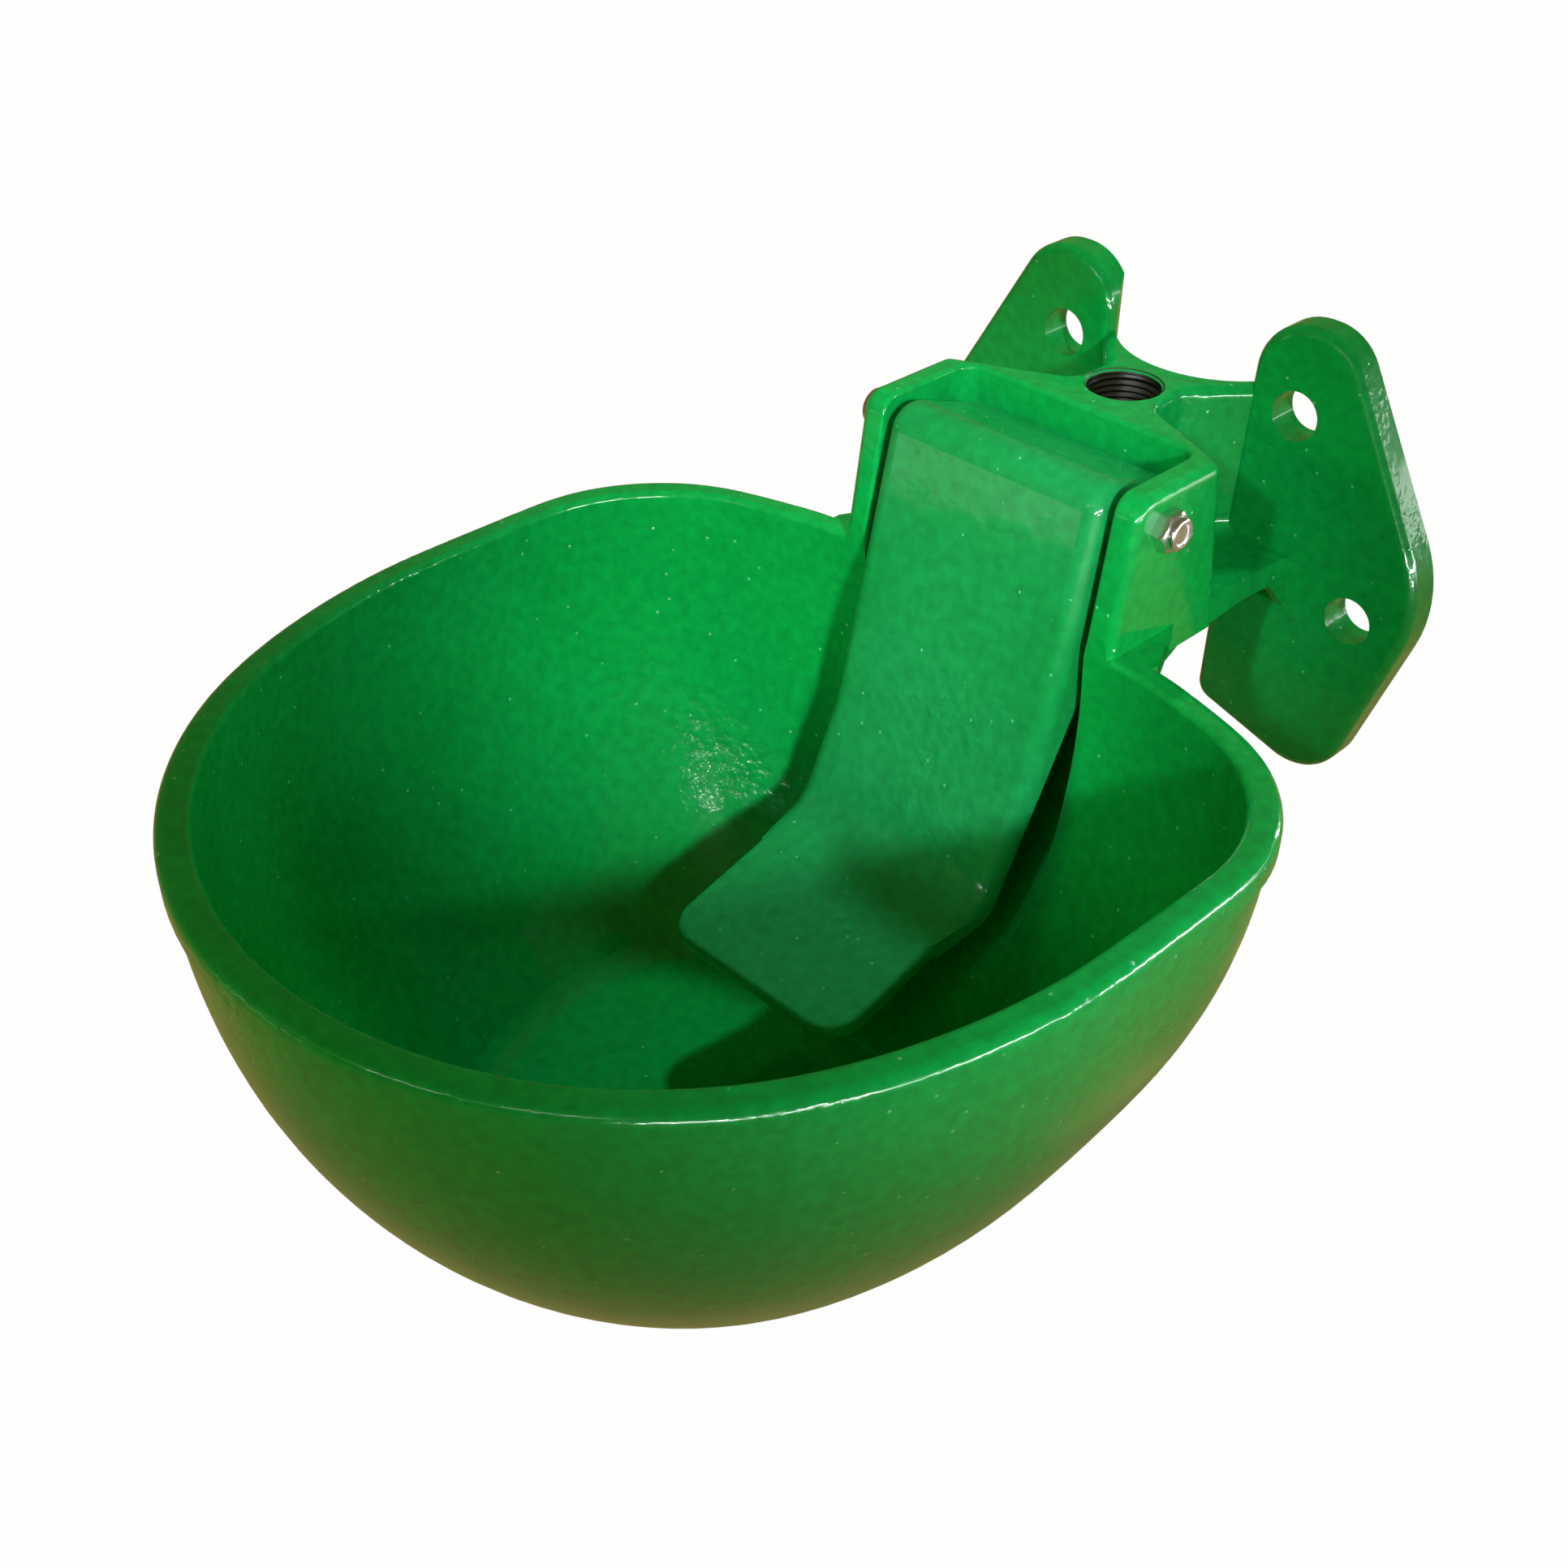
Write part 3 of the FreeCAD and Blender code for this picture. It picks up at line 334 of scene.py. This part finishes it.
# Studio floor: a pale painted board just under the bowl's foot. The camera sees it as white, and it
# throws a warm light on the bowl from below.
floor_level = cad_box[0][2] - 0.0002
floor_half = 4
sandy_board = (0.66, 0.44, 0.13, 1)
warm_glow = (1, 0.8, 0.4, 1)
studio_white = (1.04, 1.04, 1.04, 1)
share_seen_white = 0.95
share_in_mirrors = 0.14
floor_mesh = bpy.data.meshes.new("studio_floor")
floor_mesh.from_pydata([(-floor_half, -floor_half, floor_level), (floor_half, -floor_half, floor_level),
                        (floor_half, floor_half, floor_level), (-floor_half, floor_half, floor_level)],
                       [], [(0, 1, 2, 3)])
floor = bpy.data.objects.new("studio_floor", floor_mesh)
bpy.context.scene.collection.objects.link(floor)
pale = bpy.data.materials.new("pale_floor")
pale.use_nodes = True
pale_tree = pale.node_tree
pale_shader = pale_tree.nodes["Principled BSDF"]
pale_shader.inputs["Base Color"].default_value = sandy_board
pale_shader.inputs["Roughness"].default_value = 0.9
pale_shader.inputs["Specular IOR Level"].default_value = 0.1
floor_rays = pale_tree.nodes.new("ShaderNodeLightPath")
seen_as = pale_tree.nodes.new("ShaderNodeMix")
seen_as.data_type = "RGBA"
seen_as.inputs["A"].default_value = warm_glow
seen_as.inputs["B"].default_value = studio_white
pale_tree.links.new(floor_rays.outputs["Is Camera Ray"], seen_as.inputs["Factor"])
white = pale_tree.nodes.new("ShaderNodeEmission")
pale_tree.links.new(seen_as.outputs["Result"], white.inputs["Color"])
camera_share = pale_tree.nodes.new("ShaderNodeMath")
camera_share.operation = "MULTIPLY"
camera_share.inputs[1].default_value = share_seen_white
pale_tree.links.new(floor_rays.outputs["Is Camera Ray"], camera_share.inputs[0])
mirror_share = pale_tree.nodes.new("ShaderNodeMath")
mirror_share.operation = "MULTIPLY_ADD"
mirror_share.inputs[1].default_value = share_in_mirrors
pale_tree.links.new(floor_rays.outputs["Is Glossy Ray"], mirror_share.inputs[0])
pale_tree.links.new(camera_share.outputs[0], mirror_share.inputs[2])
blend = pale_tree.nodes.new("ShaderNodeMixShader")
pale_tree.links.new(mirror_share.outputs[0], blend.inputs["Fac"])
pale_tree.links.new(pale_shader.outputs["BSDF"], blend.inputs[1])
pale_tree.links.new(white.outputs["Emission"], blend.inputs[2])
pale_tree.links.new(blend.outputs["Shader"], pale_tree.nodes["Material Output"].inputs["Surface"])
floor_mesh.materials.append(pale)


# Room around the bowl: white where the camera looks past the bowl, a weak warm level in reflections
# and glass, and nearly no light of its own.
room_in_mirrors = 0.14
room_fill = 0.015
yard_glow = (1, 0.93, 0.38, 1)
room = bpy.data.worlds.new("studio_room")
room.use_nodes = True
room_tree = room.node_tree
room_light = room_tree.nodes["Background"]
room_rays = room_tree.nodes.new("ShaderNodeLightPath")
mirrored = room_tree.nodes.new("ShaderNodeMath")
mirrored.operation = "MAXIMUM"
room_tree.links.new(room_rays.outputs["Is Glossy Ray"], mirrored.inputs[0])
room_tree.links.new(room_rays.outputs["Is Transmission Ray"], mirrored.inputs[1])
mirror_level = room_tree.nodes.new("ShaderNodeMath")
mirror_level.operation = "MULTIPLY_ADD"
mirror_level.inputs[1].default_value = room_in_mirrors
mirror_level.inputs[2].default_value = room_fill
room_tree.links.new(mirrored.outputs[0], mirror_level.inputs[0])
room_level = room_tree.nodes.new("ShaderNodeMath")
room_level.operation = "MAXIMUM"
room_tree.links.new(room_rays.outputs["Is Camera Ray"], room_level.inputs[0])
room_tree.links.new(mirror_level.outputs[0], room_level.inputs[1])
room_tree.links.new(room_level.outputs[0], room_light.inputs["Strength"])
room_tint = room_tree.nodes.new("ShaderNodeMix")
room_tint.data_type = "RGBA"
room_tint.inputs["A"].default_value = yard_glow
room_tint.inputs["B"].default_value = (1, 1, 1, 1)
room_tree.links.new(room_rays.outputs["Is Camera Ray"], room_tint.inputs["Factor"])
room_tree.links.new(room_tint.outputs["Result"], room_light.inputs["Color"])
bpy.context.scene.world = room


# Lamps: dim warm softboxes around the bowl, three spots for the places that the photograph shows
# bright, and narrow strips that are seen only as highlights in the enamel.
lamp_distance = 1.3
bowl_middle = Vector((0, -0.18, -0.08))
lit_wall = Vector((-0.05, -0.10, -0.045))
tongue_middle = Vector((0, -0.09, -0.015))
housing_middle = Vector((-0.04, -0.07, 0))


def hang(name, lamp, aim, azimuth, elevation):
    # Places a lamp by its direction from what it is aimed at, azimuth from +X towards +Y
    lamp_object = bpy.data.objects.new(name, lamp)
    flat = cos(radians(elevation))
    way = Vector((flat * cos(radians(azimuth)), flat * sin(radians(azimuth)), sin(radians(elevation))))
    lamp_object.location = aim + way * lamp_distance
    lamp_object.rotation_euler = (-way).to_track_quat("-Z", "Y").to_euler()
    bpy.context.scene.collection.objects.link(lamp_object)
    return lamp_object


def softbox(name, azimuth, elevation, size, power, colour):
    lamp = bpy.data.lights.new(name, "AREA")
    lamp.shape = "RECTANGLE"
    lamp.size, lamp.size_y = size
    lamp.energy = power
    lamp.color = colour
    return hang(name, lamp, bowl_middle, azimuth, elevation)


def spot(name, aim, azimuth, elevation, width, power):
    lamp = bpy.data.lights.new(name, "SPOT")
    lamp.energy = power
    lamp.spot_size = radians(width)
    lamp.spot_blend = 0.9
    lamp.color = cool_sky
    lamp.shadow_soft_size = 0.06
    return hang(name, lamp, aim, azimuth, elevation)


cool_sky = (0.92, 1, 1.2)
daylight = (1, 1, 1)
off_the_yard = (1, 0.94, 0.38)
softbox("front_softbox", -72, 40, (0.5, 0.35), 1.2, off_the_yard).visible_glossy = False
softbox("front_right_window", -30, 16, (0.4, 0.25), 1.2, off_the_yard).visible_glossy = False
softbox("front_left_softbox", -118, 20, (0.4, 0.3), 3.6, off_the_yard).visible_glossy = False
softbox("back_softbox", 104, 32, (0.5, 0.35), 4, off_the_yard).visible_glossy = False
softbox("right_window", 40, 6, (0.6, 0.42), 3.5, daylight)
spot("wall_spot", lit_wall, -28, 25, 13, 68).visible_glossy = False
spot("tongue_spot", tongue_middle, -80, 34, 8, 34).visible_glossy = False
spot("housing_spot", housing_middle, 130, 60, 14, 30).visible_glossy = False
softbox("back_right_slit", 76, 8, (0.06, 0.3), 2, daylight).visible_diffuse = False
sheen_panel = softbox("sheen_panel", -124, -3, (0.5, 0.16), 0.5, daylight)
sheen_panel.visible_diffuse = False
sheen_panel.visible_camera = False
strip_width = 0.42
# Azimuth, elevation, height and power of each strip: the bowl's back fillet, the rim's outer edge,
# the right wing's side, and the rim's lower line
strips = ((-93, 25, 0.008, 1.6), (-64, 31, 0.008, 1.6),
          (-40, 6, 0.03, 11), (-14, 6, 0.03, 11), (12, 6, 0.03, 11), (38, 6, 0.03, 11),
          (56, 8, 0.06, 0.6),
          (-27, -2, 0.014, 5), (0, -2, 0.014, 5))
for number, (azimuth, elevation, height, power) in enumerate(strips):
    strip = softbox("highlight_strip_%d" % number, azimuth, elevation, (strip_width, height), power,
                    daylight)
    strip.visible_diffuse = False
    strip.visible_camera = False


# Camera: stands where the photograph was taken from, to the right of the bowl and above it, with the
# lens and the slight roll that lay the model over the photograph.
camera_place = Vector((0.28417, -0.44824, 0.22405))
camera_tilt = radians(54.265)
camera_heading = radians(44.886)
camera_roll = radians(0.699)
camera_lens = bpy.data.cameras.new("photo_camera")
camera_lens.sensor_width = 36
camera_lens.lens = 44.71
camera = bpy.data.objects.new("photo_camera", camera_lens)
turned = Euler((camera_tilt, 0, camera_heading)).to_matrix() @ Matrix.Rotation(camera_roll, 3, "Z")
camera.matrix_world = Matrix.Translation(camera_place) @ turned.to_4x4()
bpy.context.scene.collection.objects.link(camera)
bpy.context.scene.camera = camera
bpy.context.scene.view_settings.view_transform = "Standard"
